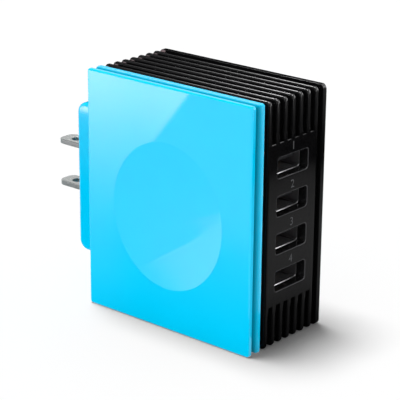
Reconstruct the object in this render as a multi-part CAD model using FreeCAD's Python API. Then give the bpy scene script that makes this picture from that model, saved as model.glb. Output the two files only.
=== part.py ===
import FreeCAD, Part
import os

# Wall charger with four USB-A sockets, in millimetres.
# +Z is up, the blue face looks towards -Y, the sockets towards +X and the plug blades towards -X.
# The origin is at the base, under the middle of the width, in the plane of the sockets and blades.

V = FreeCAD.Vector
X_AXIS = V(1, 0, 0)
Y_AXIS = V(0, 1, 0)
Z_AXIS = V(0, 0, 1)

# Housing sleeve, ribbed on all four sides
housing_width = 57.8
housing_height = 68.6
housing_depth = 24.6
outline_radius = 1.3
housing_wall = 2.8
cavity_radius = 1.0
rib_count = 7
rib_edge_chamfer = 0.35
groove_width = 1.85
groove_depth = 1.3

# Front cover, face panel and rear cover
face_corner_radius = 0.8
cover_thickness = 2.1
cover_edge_chamfer = 0.6
neck_length = 1.4
neck_inset = 2.4
panel_thickness = 1.4
panel_edge_chamfer = 0.4
dish_radius = 20.0
dish_depth = 0.8
dish_offset = -1.7
rear_thickness = 1.85
rear_edge_chamfer = 0.5
lip_length = 2.5
lip_thickness = 1.2
lip_clearance = 0.15
lip_corner_gap = 4.0

# Socket row, a flat field across the ribs with one window for each socket
port_count = 4
port_pitch = 10.5
port_row_offset = -0.15
window_width = 12.9
window_height = 5.6
window_radius = 0.8
field_margin = 4.15

# USB-A socket
socket_width = 12.5
socket_height = 5.12
socket_radius = 0.6
shell_wall = 0.3
shell_length = 14.0
shell_flange = 0.6
insulator_clearance = 0.05
insulator_base = 5.0
tongue_width = 11.1
tongue_thickness = 1.84
tongue_top_gap = 0.72
tongue_recess = 1.5
contact_offsets = (3.5, 1.0, -1.0, -3.5)
contact_width = 1.0
contact_thickness = 0.2
contact_setback = 0.6
contact_leg_width = 0.8
contact_leg_pitch = 1.2

# Plug block and its two blades
plug_height = 43.8
plug_offset = 0.15
plug_reach = 9.4
plug_side_margin = 0.4
plug_corner_radius = 3.0
plug_edge_chamfer = 0.7
spigot_side_margin = 4.0
spigot_end_margin = 5.0
spigot_length = 1.2
spigot_radius = 1.0
spigot_clearance = 0.1
blade_spacing = 12.7
blade_offset = -1.2
blade_width = 6.35
blade_thickness = 1.5
blade_length = 16.9
blade_tip_radius = 2.2
blade_edge_chamfer = 0.3
blade_hole_diameter = 3.2
blade_hole_distance = 11.9
blade_tail = 4.4
blade_clearance = 0.05

# Contact clips, which carry the mains from the blades to the board
clip_thickness = 0.4
clip_width = 3.0
clip_overlap = 2.4
clip_foot = 1.6

# Circuit board and the posts of the rear cover that hold it
board_thickness = 1.6
board_clearance = 0.35
post_width = 4.5
post_inset = 3.2
pin_diameter = 1.8
pin_clearance = 0.1

# Parts on the board
part_gap = 1.2
front_headroom = 2.85
lead_thickness = 0.5
input_capacitor_diameter = 8.0
output_capacitor_diameter = 6.3
can_rim = 0.6
core_length = 16.0
core_width = 16.0
core_thickness = 5.0
core_end = 2.5
core_side_leg = 2.5
core_centre_leg = 5.0
bobbin_wall = 0.6
bobbin_flange = 1.0
bobbin_clearance = 0.15
winding_build = 2.0
winding_chamfer = 0.8
barrier_thickness = 0.4
barrier_end_margin = 2.0
fuse_diameter = 8.4
fuse_height = 7.5
choke_diameter = 9.0
choke_height = 9.5
choke_flange = 1.0
choke_waist = 4.4
choke_winding = 7.8
sink_thickness = 1.5
sink_length = 14.0
sink_height = 13.5
sink_foot = 4.0
transistor_body = (10.0, 9.0, 4.4)
transistor_tab = (10.0, 12.5, 1.3)
transistor_leg_pitch = 2.54
bridge_body = (9.0, 2.6, 6.5)
bridge_lead_pairs = 2
optocoupler_body = (4.6, 2.3, 6.5)
optocoupler_lead_pairs = 2
rectifier_body = (6.5, 1.3, 5.0)
rectifier_lead_pairs = 2
controller_body = (5.0, 1.5, 4.0)
controller_lead_pairs = 4
disc_diameter = 8.0
disc_thickness = 3.6
disc_lift = 1.0

# How closely a place or a direction is matched when edges are picked
pick_tolerance = 1e-4

# Places that follow from the sizes above
rib_pitch = (housing_depth - groove_width) / rib_count
rib_width = rib_pitch - groove_width
housing_front = -housing_depth / 2
housing_rear = housing_depth / 2
half_width = housing_width / 2
mid_height = housing_height / 2
cavity_half_width = half_width - housing_wall
cavity_bottom = housing_wall
cavity_top = housing_height - housing_wall
cover_front = housing_front - cover_thickness
panel_back = cover_front - neck_length
panel_front = panel_back - panel_thickness
rear_face = housing_rear + rear_thickness
port_row_middle = mid_height + port_row_offset
field_height = (port_count - 1) * port_pitch + window_height + 2 * field_margin
plug_middle = mid_height + plug_offset
plug_face = -half_width - plug_reach
plug_half_depth = housing_depth / 2 - plug_side_margin
blade_middle = mid_height + blade_offset
blade_heights = (blade_middle + blade_spacing / 2, blade_middle - blade_spacing / 2)
spigot_half_width = blade_width / 2 + spigot_side_margin
spigot_half_height = (blade_spacing + blade_thickness) / 2 + spigot_end_margin
spigot_end = -cavity_half_width + spigot_length
blade_tip = plug_face - blade_length
blade_end = spigot_end + blade_tail
shell_half_width = socket_width / 2 + shell_wall
shell_half_height = socket_height / 2 + shell_wall
shell_rear = cavity_half_width - shell_length
tongue_front = cavity_half_width - tongue_recess
board_front = shell_half_width
board_back = board_front + board_thickness
board_margin = lip_clearance + lip_thickness + board_clearance
board_half_width = cavity_half_width - board_margin
board_bottom = cavity_bottom + board_margin
board_top = cavity_top - board_margin
socket_row_half_height = (port_count - 1) * port_pitch / 2 + shell_half_height + shell_flange
socket_row_top = port_row_middle + socket_row_half_height
socket_row_bottom = port_row_middle - socket_row_half_height
legs_rear = shell_rear - len(contact_offsets) * contact_leg_pitch
barrier_x = legs_rear - part_gap
tall_part_height = board_front - housing_front - front_headroom


def box_between(low, high):
    """A box from its lowest to its highest corner."""
    size = high - low
    return Part.makeBox(size.x, size.y, size.z, low)


def edges_along(shape, axis):
    """The straight edges of a box that run along one axis."""
    found = []
    for edge in shape.Edges:
        if edge.tangentAt(edge.FirstParameter).cross(axis).Length < pick_tolerance:
            found.append(edge)
    return found


def edges_in_plane(shape, axis, position):
    """The edges that lie wholly in the plane across an axis at one position."""
    found = []
    for edge in shape.Edges:
        ends = [edge.valueAt(edge.FirstParameter), edge.valueAt(edge.LastParameter), edge.CenterOfMass]
        if all(abs(point.dot(axis) - position) < pick_tolerance for point in ends):
            found.append(edge)
    return found


def rounded_bar(low, high, axis, radius):
    """A box with its four edges along one axis rounded."""
    bar = box_between(low, high)
    return bar.makeFillet(radius, edges_along(bar, axis))


def outline_bar(inset, front, back, radius):
    """The outline of the housing, drawn in by an inset, from one depth to another."""
    low = V(-half_width + inset, front, inset)
    high = V(half_width - inset, back, housing_height - inset)
    return rounded_bar(low, high, Y_AXIS, radius)


def turned(profile, x, z):
    """A round part that stands on the board, from (radius, height) pairs along its outline."""
    points = [V(x + radius, board_front - height, z) for radius, height in profile]
    face = Part.Face(Part.makePolygon(points + points[:1]))
    return face.revolve(V(x, board_front, z), Y_AXIS, 360)


def save(shape, name):
    """Write one sub-part, after a test that it is sound."""
    if not shape.isValid() or not shape.Solids:
        raise ValueError(name + " is not a valid solid")
    shape.exportStep("parts/" + name + ".step")
    print(name, len(shape.Solids), "solid", round(shape.Volume, 1), "mm3")


def port_heights():
    """Heights of the socket centres, from the top one down."""
    top = port_row_middle + (port_count - 1) * port_pitch / 2
    return [top - index * port_pitch for index in range(port_count)]


def make_rib(index):
    """One rib, a ring slab round the housing with bevelled crest edges."""
    middle = (index - (rib_count - 1) / 2) * rib_pitch
    front = middle - rib_width / 2
    back = middle + rib_width / 2
    slab = outline_bar(0, front, back, outline_radius)
    crest_edges = edges_in_plane(slab, Y_AXIS, front) + edges_in_plane(slab, Y_AXIS, back)
    return slab.makeChamfer(rib_edge_chamfer, crest_edges)


def make_field(side):
    """The flat field that fills the grooves between the outer ribs on one side of the housing."""
    half_depth = (rib_count - 1) / 2 * rib_pitch
    inner = side * (half_width - groove_depth - outline_radius)
    outer = side * half_width
    low = V(min(inner, outer), -half_depth, port_row_middle - field_height / 2)
    high = V(max(inner, outer), half_depth, port_row_middle + field_height / 2)
    field = box_between(low, high)
    ledges = [edge for edge in edges_in_plane(field, X_AXIS, outer) if edge.BoundBox.YLength > groove_width]
    return field.makeChamfer(rib_edge_chamfer, ledges)


def make_window(height):
    """The cutter of one socket window."""
    low = V(cavity_half_width, -window_width / 2, height - window_height / 2)
    high = V(half_width, window_width / 2, height + window_height / 2)
    return rounded_bar(low, high, X_AXIS, window_radius)


def make_housing():
    """The ribbed sleeve, open at the front and the rear, with square corners at the groove floors."""
    core_low = V(-half_width + groove_depth, housing_front, groove_depth)
    core_high = V(half_width - groove_depth, housing_rear, housing_height - groove_depth)
    ribs = [make_rib(index) for index in range(rib_count)]
    sleeve = box_between(core_low, core_high).fuse(ribs + [make_field(1), make_field(-1)])
    cuts = [outline_bar(housing_wall, housing_front, housing_rear, cavity_radius)]
    cuts += [make_window(height) for height in port_heights()]
    cuts.append(make_spigot(spigot_clearance, -half_width, -cavity_half_width))
    return sleeve.cut(cuts).removeSplitter()


def make_lip(front, back):
    """Four straight tongues that locate a cover inside the housing, one along each wall."""
    outer = cavity_half_width - lip_clearance
    inner = outer - lip_thickness
    bottom = cavity_bottom + lip_clearance
    top = cavity_top - lip_clearance
    tongues = []
    for near, far in ((-outer, -inner), (inner, outer)):
        low = V(near, front, bottom + lip_corner_gap)
        tongues.append(box_between(low, V(far, back, top - lip_corner_gap)))
    for low_z, high_z in ((bottom, bottom + lip_thickness), (top - lip_thickness, top)):
        low = V(-outer + lip_corner_gap, front, low_z)
        tongues.append(box_between(low, V(outer - lip_corner_gap, back, high_z)))
    return tongues


def make_face_panel():
    """The blue face, with a shallow spherical dish."""
    panel = outline_bar(0, panel_front, panel_back, face_corner_radius)
    panel = panel.makeChamfer(panel_edge_chamfer, edges_in_plane(panel, Y_AXIS, panel_front))
    sphere_radius = (dish_radius ** 2 + dish_depth ** 2) / (2 * dish_depth)
    centre = V(0, panel_front + dish_depth - sphere_radius, mid_height + dish_offset)
    return panel.cut(Part.makeSphere(sphere_radius, centre, Z_AXIS))


def make_front_cover():
    """The blue cover plate, its neck behind the face panel and its locating lip."""
    plate = outline_bar(0, cover_front, housing_front, face_corner_radius)
    plate = plate.makeChamfer(cover_edge_chamfer, edges_in_plane(plate, Y_AXIS, cover_front))
    neck = outline_bar(neck_inset, panel_back, cover_front, outline_radius)
    lip = make_lip(housing_front, housing_front + lip_length)
    return plate.fuse([neck] + lip).removeSplitter()


def post_places():
    """The x and z of the four posts, near the corners of the board."""
    x = board_half_width - post_inset
    low = board_bottom + post_inset
    high = board_top - post_inset
    return [(-x, low), (x, low), (-x, high), (x, high)]


def pin_places():
    """The two posts in opposite corners whose pins locate the board."""
    places = post_places()
    return [places[0], places[-1]]


def make_rear_cover():
    """The back plate, whose rim is the last rib, with its lip, four board posts and two pins."""
    plate = outline_bar(0, housing_rear, rear_face, outline_radius)
    plate = plate.makeChamfer(rear_edge_chamfer, edges_in_plane(plate, Y_AXIS, rear_face))
    pieces = make_lip(housing_rear - lip_length, housing_rear)
    half = post_width / 2
    for x, z in post_places():
        pieces.append(box_between(V(x - half, board_back, z - half), V(x + half, housing_rear, z + half)))
    for x, z in pin_places():
        pieces.append(Part.makeCylinder(pin_diameter / 2, board_thickness, V(x, board_front, z), Y_AXIS))
    return plate.fuse(pieces).removeSplitter()


def make_board():
    """The circuit board, with a hole for each locating pin."""
    low = V(-board_half_width, board_front, board_bottom)
    high = V(board_half_width, board_back, board_top)
    radius = pin_diameter / 2 + pin_clearance
    holes = []
    for x, z in pin_places():
        holes.append(Part.makeCylinder(radius, board_thickness, V(x, board_front, z), Y_AXIS))
    return box_between(low, high).cut(holes)


def make_spigot(clearance, start, end):
    """The part of the plug block that passes through the housing wall."""
    half_y = spigot_half_width + clearance
    half_z = spigot_half_height + clearance
    low = V(start, -half_y, blade_middle - half_z)
    high = V(end, half_y, blade_middle + half_z)
    return rounded_bar(low, high, X_AXIS, spigot_radius)


def make_plug_block():
    """The blue block on the plug side, with a slot for each blade."""
    low = V(plug_face, -plug_half_depth, plug_middle - plug_height / 2)
    high = V(-half_width, plug_half_depth, plug_middle + plug_height / 2)
    block = box_between(low, high)
    face_edges = edges_in_plane(block, X_AXIS, plug_face)
    corners = [edge for edge in face_edges if edge.BoundBox.YLength > plug_half_depth]
    block = block.makeFillet(plug_corner_radius, corners)
    rims = edges_in_plane(block, Y_AXIS, -plug_half_depth) + edges_in_plane(block, Y_AXIS, plug_half_depth)
    seat_edges = edges_in_plane(block, X_AXIS, -half_width)
    rims = [edge for edge in rims if not any(edge.isSame(seat) for seat in seat_edges)]
    block = block.makeChamfer(plug_edge_chamfer, rims)
    block = block.fuse(make_spigot(0, -half_width, spigot_end))
    half_y = blade_width / 2 + blade_clearance
    half_z = blade_thickness / 2 + blade_clearance
    slots = []
    for height in blade_heights:
        slot_low = V(plug_face, -half_y, height - half_z)
        slots.append(box_between(slot_low, V(spigot_end, half_y, height + half_z)))
    return block.cut(slots).removeSplitter()


def make_blade(height):
    """One flat blade, rounded at its tip, with the hole that a wall socket's detent takes."""
    low = V(blade_tip, -blade_width / 2, height - blade_thickness / 2)
    high = V(blade_end, blade_width / 2, height + blade_thickness / 2)
    blade = box_between(low, high)
    tip_corners = [edge for edge in edges_along(blade, Z_AXIS) if edge.BoundBox.XMin < plug_face]
    blade = blade.makeFillet(blade_tip_radius, tip_corners)
    flat_edges = edges_in_plane(blade, Z_AXIS, low.z) + edges_in_plane(blade, Z_AXIS, high.z)
    tip_edges = [edge for edge in flat_edges if edge.CenterOfMass.x < blade_tip + blade_tip_radius]
    blade = blade.makeChamfer(blade_edge_chamfer, tip_edges)
    hole_x = plug_face - blade_hole_distance
    hole_foot = V(hole_x, 0, height - blade_thickness / 2)
    return blade.cut(Part.makeCylinder(blade_hole_diameter / 2, blade_thickness, hole_foot, Z_AXIS))


def make_clip(height):
    """A forked spring on the board that grips the tail of one blade from above and below."""
    start = blade_end - clip_width
    leaf_end = blade_width / 2 - clip_overlap
    half = blade_thickness / 2
    foot_half = half + clip_thickness + clip_foot
    foot_low = V(start, board_front - clip_thickness, height - foot_half)
    pieces = [box_between(foot_low, V(blade_end, board_front, height + foot_half))]
    for side in (1, -1):
        near = height + side * half
        far = height + side * (half + clip_thickness)
        low = V(start, leaf_end, min(near, far))
        pieces.append(box_between(low, V(blade_end, board_front, max(near, far))))
    clip = pieces[0].fuse(pieces[1:])
    channel_low = V(start, leaf_end, height - half)
    channel = box_between(channel_low, V(blade_end, board_front - clip_thickness, height + half))
    return clip.cut(channel).removeSplitter()


def make_shell(height):
    """The metal shell of one socket, a tube that ends in a flange against the inside of the housing."""
    inner_low = V(shell_rear, -socket_width / 2, height - socket_height / 2)
    inner_high = V(cavity_half_width, socket_width / 2, height + socket_height / 2)
    wall = V(0, shell_wall, shell_wall)
    rim = V(0, shell_flange, shell_flange)
    tube = rounded_bar(inner_low - wall, inner_high + wall, X_AXIS, socket_radius + shell_wall)
    flange_low = V(cavity_half_width - shell_wall, inner_low.y, inner_low.z) - wall - rim
    flange_high = inner_high + wall + rim
    # The flange has no rim on its +Y side, where the tube lies flat on the board
    flange_high.y = inner_high.y + shell_wall
    mouth = rounded_bar(inner_low, inner_high, X_AXIS, socket_radius)
    return tube.fuse(box_between(flange_low, flange_high)).cut(mouth).removeSplitter()


def contact_bars(height, clearance):
    """The straight stretches of the four contacts under the tongue of one socket."""
    bars = []
    for index, offset in enumerate(contact_offsets):
        rear = shell_rear - (index + 1) * contact_leg_pitch
        half = contact_width / 2 + clearance
        low = V(rear, offset - half, height - contact_thickness - clearance)
        bars.append(box_between(low, V(tongue_front - contact_setback, offset + half, height)))
    return bars


def make_contacts(height):
    """Four flat contacts, each turning towards the board behind the shell."""
    contacts = []
    for index, bar in enumerate(contact_bars(height, 0)):
        rear = shell_rear - (index + 1) * contact_leg_pitch
        low = V(rear, contact_offsets[index], height - contact_thickness)
        leg = box_between(low, V(rear + contact_leg_width, board_front, height))
        contacts.append(bar.fuse(leg).removeSplitter())
    return Part.makeCompound(contacts)


def make_insulator(height):
    """The black tongue of one socket and the base that closes the rear of its shell."""
    base_half_y = socket_width / 2 - insulator_clearance
    base_half_z = socket_height / 2 - insulator_clearance
    low = V(shell_rear, -base_half_y, height - base_half_z)
    high = V(shell_rear + insulator_base, base_half_y, height + base_half_z)
    base = box_between(low, high)
    base = base.makeChamfer(socket_radius, edges_along(base, X_AXIS))
    tongue_top = height + socket_height / 2 - tongue_top_gap
    tongue_low = V(shell_rear, -tongue_width / 2, tongue_top - tongue_thickness)
    tongue = box_between(tongue_low, V(tongue_front, tongue_width / 2, tongue_top))
    return base.fuse(tongue).cut(contact_bars(height, insulator_clearance)).removeSplitter()


def make_can(diameter, height, x, z):
    """A closed round can on the board with a bevelled top rim, such as a capacitor or a fuse."""
    radius = diameter / 2
    profile = [
        (0, 0),
        (radius, 0),
        (radius, height - can_rim),
        (radius - can_rim, height),
        (0, height),
    ]
    return turned(profile, x, z)


def make_chip(body_size, x, z, lead_pairs):
    """A moulded chip on the back of the board, with flat leads along its upper and lower sides."""
    size_x, size_y, size_z = body_size
    low = V(x - size_x / 2, board_back + lead_thickness, z - size_z / 2)
    high = V(x + size_x / 2, board_back + size_y, z + size_z / 2)
    pitch = size_x / lead_pairs
    first_x = low.x + pitch / 2
    pieces = []
    for index in range(lead_pairs):
        lead_x = first_x + index * pitch
        lead_low = V(lead_x - lead_thickness / 2, board_back, low.z - lead_thickness)
        lead_high = V(lead_x + lead_thickness / 2, board_back + size_y / 2, high.z + lead_thickness)
        pieces.append(box_between(lead_low, lead_high))
    return box_between(low, high).fuse(pieces).removeSplitter()


class Transformer:
    """Places shared by the pieces of the transformer, which winds along X beside the barrier."""
    x = barrier_x - part_gap - core_length / 2
    z = port_row_middle
    tube_grow = bobbin_clearance + bobbin_wall
    y = board_front - core_thickness / 2 - tube_grow - winding_build - part_gap
    window_half = core_length / 2 - core_end
    flange_half_z = core_width / 2 - core_side_leg - bobbin_clearance


def make_transformer_core():
    """The ferrite core, a frame with a middle leg."""
    t = Transformer
    low = V(t.x - core_length / 2, t.y - core_thickness / 2, t.z - core_width / 2)
    high = V(t.x + core_length / 2, t.y + core_thickness / 2, t.z + core_width / 2)
    core = box_between(low, high)
    windows = []
    for side in (1, -1):
        near = t.z + side * core_centre_leg / 2
        far = t.z + side * (core_width / 2 - core_side_leg)
        window_low = V(t.x - t.window_half, low.y, min(near, far))
        windows.append(box_between(window_low, V(t.x + t.window_half, high.y, max(near, far))))
    return core.cut(windows)


def middle_leg_bar(grow_y, grow_z, half_length):
    """A bar along the transformer's middle leg, wider than the leg by given amounts."""
    t = Transformer
    half_y = core_thickness / 2 + grow_y
    half_z = core_centre_leg / 2 + grow_z
    low = V(t.x - half_length, t.y - half_y, t.z - half_z)
    return box_between(low, V(t.x + half_length, t.y + half_y, t.z + half_z))


def make_bobbin():
    """The bobbin: a tube round the middle leg and two flanges that stand on the board."""
    t = Transformer
    length = t.window_half - bobbin_clearance
    flange_front = t.y - core_thickness / 2 - t.tube_grow - winding_build
    pieces = []
    for side in (1, -1):
        outer = t.x + side * length
        inner = outer - side * bobbin_flange
        low = V(min(outer, inner), flange_front, t.z - t.flange_half_z)
        pieces.append(box_between(low, V(max(outer, inner), board_front, t.z + t.flange_half_z)))
    tube = middle_leg_bar(t.tube_grow, t.tube_grow, length).fuse(pieces)
    return tube.cut(middle_leg_bar(bobbin_clearance, bobbin_clearance, length)).removeSplitter()


def make_winding():
    """The taped coils between the bobbin's flanges, level with them above and below."""
    t = Transformer
    length = t.window_half - bobbin_clearance - bobbin_flange
    outer_grow_z = t.flange_half_z - core_centre_leg / 2
    coil = middle_leg_bar(t.tube_grow + winding_build, outer_grow_z, length)
    coil = coil.makeChamfer(winding_chamfer, edges_along(coil, X_AXIS))
    return coil.cut(middle_leg_bar(t.tube_grow, t.tube_grow, length))


def make_barrier():
    """A stiff insulating sheet that stands between the mains side and the sockets."""
    bottom = socket_row_bottom - barrier_end_margin
    top = socket_row_top + barrier_end_margin
    low = V(barrier_x - barrier_thickness, board_front - tall_part_height, bottom)
    return box_between(low, V(barrier_x, board_front, top))


def make_choke_core(x, z):
    """The ferrite spool of the line choke."""
    rim = choke_diameter / 2
    waist = choke_waist / 2
    upper = choke_height - choke_flange
    profile = [
        (0, 0),
        (rim, 0),
        (rim, choke_flange),
        (waist, choke_flange),
        (waist, upper),
        (rim, upper),
        (rim, choke_height),
        (0, choke_height),
    ]
    return turned(profile, x, z)


def make_choke_winding(x, z):
    """The wire on the spool, as one ring."""
    waist = choke_waist / 2
    outer = choke_winding / 2
    upper = choke_height - choke_flange
    return turned([(waist, choke_flange), (outer, choke_flange), (outer, upper), (waist, upper)], x, z)


def make_heat_sink(x, z):
    """An aluminium plate that stands on the board on a bent foot, above a transistor."""
    low = V(x - sink_length / 2, board_front - sink_height, z)
    plate = box_between(low, V(x + sink_length / 2, board_front, z + sink_thickness))
    foot_low = V(x - sink_length / 2, board_front - sink_thickness, z)
    foot = box_between(foot_low, V(x + sink_length / 2, board_front, z + sink_foot))
    return plate.fuse(foot).removeSplitter()


def make_transistor(x, z):
    """A power transistor with its metal tab flat under the heat sink, on three legs."""
    tab_x, tab_y, tab_z = transistor_tab
    body_x, body_y, body_z = transistor_body
    top = board_front - sink_height
    foot = top + tab_y
    tab = box_between(V(x - tab_x / 2, top, z - tab_z), V(x + tab_x / 2, foot, z))
    body = box_between(V(x - body_x / 2, foot - body_y, z - body_z), V(x + body_x / 2, foot, z))
    legs = []
    for index in (-1, 0, 1):
        leg_x = x + index * transistor_leg_pitch
        leg_low = V(leg_x - lead_thickness / 2, foot - lead_thickness, z - body_z / 2)
        leg_high = V(leg_x + lead_thickness / 2, board_front, z - body_z / 2 + lead_thickness)
        legs.append(box_between(leg_low, leg_high))
    return tab.fuse([body] + legs).removeSplitter()


def make_disc_capacitor(x, z):
    """A dipped disc capacitor that stands on two leads."""
    radius = disc_diameter / 2
    middle = board_front - disc_lift - radius
    disc = Part.makeCylinder(radius, disc_thickness, V(x, middle, z - disc_thickness / 2), Z_AXIS)
    lead_half = lead_thickness / 2
    leads = []
    for side in (1, -1):
        lead_x = x + side * radius / 2
        lead_low = V(lead_x - lead_half, middle, z - lead_half)
        leads.append(box_between(lead_low, V(lead_x + lead_half, board_front, z + lead_half)))
    return disc.fuse(leads).removeSplitter()


def save_sockets():
    """The shell, tongue and contacts of each socket, numbered from the top."""
    for number, height in enumerate(port_heights(), start=1):
        save(make_shell(height), "usb_shell_%d" % number)
        save(make_insulator(height), "usb_tongue_%d" % number)
        save(make_contacts(height), "usb_contacts_%d" % number)


def save_mains_parts():
    """The parts on the mains side of the barrier, in rows above and below the transformer and clips."""
    clip_half = blade_thickness / 2 + clip_thickness + clip_foot
    upper_row = max(Transformer.z + core_width / 2, blade_heights[0] + clip_half) + part_gap
    lower_row = min(Transformer.z - core_width / 2, blade_heights[1] - clip_half) - part_gap
    left = -board_half_width + part_gap
    can_radius = input_capacitor_diameter / 2
    can_pitch = input_capacitor_diameter + part_gap
    for index in range(2):
        can_x = left + can_radius + index * can_pitch
        can = make_can(input_capacitor_diameter, tall_part_height, can_x, upper_row + can_radius)
        save(can, "input_capacitor_%d" % (index + 1))
    sink_x = left + sink_length / 2
    sink_z = upper_row + input_capacitor_diameter + part_gap + transistor_body[2]
    save(make_heat_sink(sink_x, sink_z), "heat_sink")
    save(make_transistor(sink_x, sink_z), "power_transistor")
    fuse_x = left + fuse_diameter / 2
    choke_x = left + fuse_diameter + part_gap + choke_diameter / 2
    row_depth = max(fuse_diameter, choke_diameter)
    row_z = lower_row - row_depth / 2
    save(make_can(fuse_diameter, fuse_height, fuse_x, row_z), "fuse")
    save(make_choke_core(choke_x, row_z), "choke_core")
    save(make_choke_winding(choke_x, row_z), "choke_winding")
    disc_z = lower_row - row_depth - part_gap - disc_thickness / 2
    save(make_disc_capacitor(choke_x, disc_z), "safety_capacitor")
    save(make_chip(bridge_body, fuse_x, row_z, bridge_lead_pairs), "bridge_rectifier")
    save(make_chip(optocoupler_body, barrier_x, row_z, optocoupler_lead_pairs), "optocoupler")


def save_output_parts():
    """The parts on the socket side of the barrier, above and below the row of sockets."""
    radius = output_capacitor_diameter / 2
    x = shell_rear + radius
    above = socket_row_top + part_gap + radius
    below = socket_row_bottom - part_gap - radius
    for number, z in enumerate((above, below), start=1):
        can = make_can(output_capacitor_diameter, tall_part_height, x, z)
        save(can, "output_capacitor_%d" % number)
    rectifier = make_chip(rectifier_body, x, port_row_middle + port_pitch, rectifier_lead_pairs)
    save(rectifier, "output_rectifier")
    controller = make_chip(controller_body, x, port_row_middle - port_pitch, controller_lead_pairs)
    save(controller, "charge_controller")


def main():
    os.makedirs("parts", exist_ok=True)
    save(make_face_panel(), "face_panel")
    save(make_front_cover(), "front_cover")
    save(make_housing(), "housing")
    save(make_rear_cover(), "rear_cover")
    save(make_plug_block(), "plug_block")
    for name, height in zip(("upper", "lower"), blade_heights):
        save(make_blade(height), "blade_" + name)
        save(make_clip(height), "contact_clip_" + name)
    save(make_board(), "main_board")
    save_sockets()
    save(make_transformer_core(), "transformer_core")
    save(make_bobbin(), "transformer_bobbin")
    save(make_winding(), "transformer_winding")
    save(make_barrier(), "insulation_barrier")
    save_mains_parts()
    save_output_parts()


main()
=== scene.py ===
# %% [markdown]
# A wall charger with four sockets: a black ribbed housing between a glossy blue face and a plain
# black back, with a blue plug block on one side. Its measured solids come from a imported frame, in
# metres, and they are never moved. This lesson gives every solid its finish, and rebuilds the ones
# that show with the fine round edges of moulded parts.

# %% Load the frame
import math

import bmesh
import bpy
from mathutils import Matrix, Vector


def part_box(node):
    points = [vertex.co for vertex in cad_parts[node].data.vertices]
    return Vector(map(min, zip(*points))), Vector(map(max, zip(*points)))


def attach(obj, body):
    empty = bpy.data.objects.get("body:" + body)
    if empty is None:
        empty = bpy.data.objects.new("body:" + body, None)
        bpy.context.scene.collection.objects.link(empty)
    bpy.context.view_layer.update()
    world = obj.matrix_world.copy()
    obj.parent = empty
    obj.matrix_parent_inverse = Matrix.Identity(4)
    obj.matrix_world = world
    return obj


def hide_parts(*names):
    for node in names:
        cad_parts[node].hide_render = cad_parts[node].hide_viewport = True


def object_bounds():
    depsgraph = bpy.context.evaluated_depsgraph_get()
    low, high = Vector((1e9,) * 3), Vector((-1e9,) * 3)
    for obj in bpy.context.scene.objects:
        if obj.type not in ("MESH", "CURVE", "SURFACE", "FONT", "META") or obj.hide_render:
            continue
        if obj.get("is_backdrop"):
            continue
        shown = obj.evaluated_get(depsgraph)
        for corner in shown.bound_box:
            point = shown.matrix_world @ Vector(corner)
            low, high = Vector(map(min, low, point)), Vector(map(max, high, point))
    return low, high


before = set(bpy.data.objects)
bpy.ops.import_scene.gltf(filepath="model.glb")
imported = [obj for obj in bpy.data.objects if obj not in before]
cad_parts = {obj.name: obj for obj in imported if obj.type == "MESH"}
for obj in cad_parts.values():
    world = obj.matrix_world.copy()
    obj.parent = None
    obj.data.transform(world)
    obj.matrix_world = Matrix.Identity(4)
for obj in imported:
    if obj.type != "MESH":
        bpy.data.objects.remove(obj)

MM = 0.001
cad_low, cad_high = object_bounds()
print("solids:", len(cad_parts), "size in mm:", [round(side / MM, 2) for side in cad_high - cad_low])

# %% [markdown]
# The camera comes first, because every finish is judged through it. A product shot like this one is
# taken with a long lens from the right and a little above, so that upright edges stay nearly
# parallel. Its place could be found by eye, but it was worked out from the corners of the charger,
# so the numbers here are a measured viewpoint.

# %% Camera
CAMERA_PLACE = Vector((277.54, -328.47, 183.11)) * MM
CAMERA_AZIMUTH = math.radians(40.49)
CAMERA_ELEVATION = math.radians(19.246)
CAMERA_ROLL = math.radians(0.51)
CAMERA_LENS = 149.18
CAMERA_SENSOR = 36.0
CLIP_START = 10 * MM
CLIP_END = 10.0


def make_camera():
    """A camera at a place, turned by azimuth, elevation and a slight roll."""
    around = Matrix.Rotation(CAMERA_AZIMUTH, 4, "Z")
    upright = Matrix.Rotation(math.pi / 2 - CAMERA_ELEVATION, 4, "X")
    roll = Matrix.Rotation(CAMERA_ROLL, 4, "Z")
    lens = bpy.data.cameras.new("camera")
    lens.lens = CAMERA_LENS
    lens.sensor_width = CAMERA_SENSOR
    lens.clip_start = CLIP_START
    lens.clip_end = CLIP_END
    camera = bpy.data.objects.new("camera", lens)
    camera.matrix_world = Matrix.Translation(CAMERA_PLACE) @ around @ upright @ roll
    bpy.context.scene.collection.objects.link(camera)
    bpy.context.scene.camera = camera
    return camera


camera = make_camera()
print("camera at", [round(value / MM, 1) for value in camera.location])

# %% [markdown]
# Every node tree below is built from the same few moves: add a node, set its inputs, or join them to
# other nodes. A helper for that keeps the recipes short enough to read as recipes. Two more cover
# what comes up all the time: one step of arithmetic, and a value moved from one range to another.

# %% Helpers for node trees
WHITE = (1, 1, 1, 1)


def new_material(name):
    """A new material with its node tree and its shader."""
    material = bpy.data.materials.new(name)
    material.use_nodes = True
    return material, material.node_tree, material.node_tree.nodes["Principled BSDF"]


def set_inputs(tree, node, values):
    """Give the inputs of a node plain values, or join them to the outputs of other nodes."""
    for name, value in values.items():
        if isinstance(value, bpy.types.NodeSocket):
            tree.links.new(value, node.inputs[name])
        else:
            node.inputs[name].default_value = value


def add_node(tree, kind, values=None, **settings):
    """A new node with some settings and inputs."""
    node = tree.nodes.new(kind)
    for name, value in settings.items():
        setattr(node, name, value)
    set_inputs(tree, node, values or {})
    return node


def wire(tree, operation, *values):
    """One step of arithmetic on numbers or node outputs."""
    return add_node(tree, "ShaderNodeMath", dict(enumerate(values)), operation=operation).outputs[0]


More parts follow.
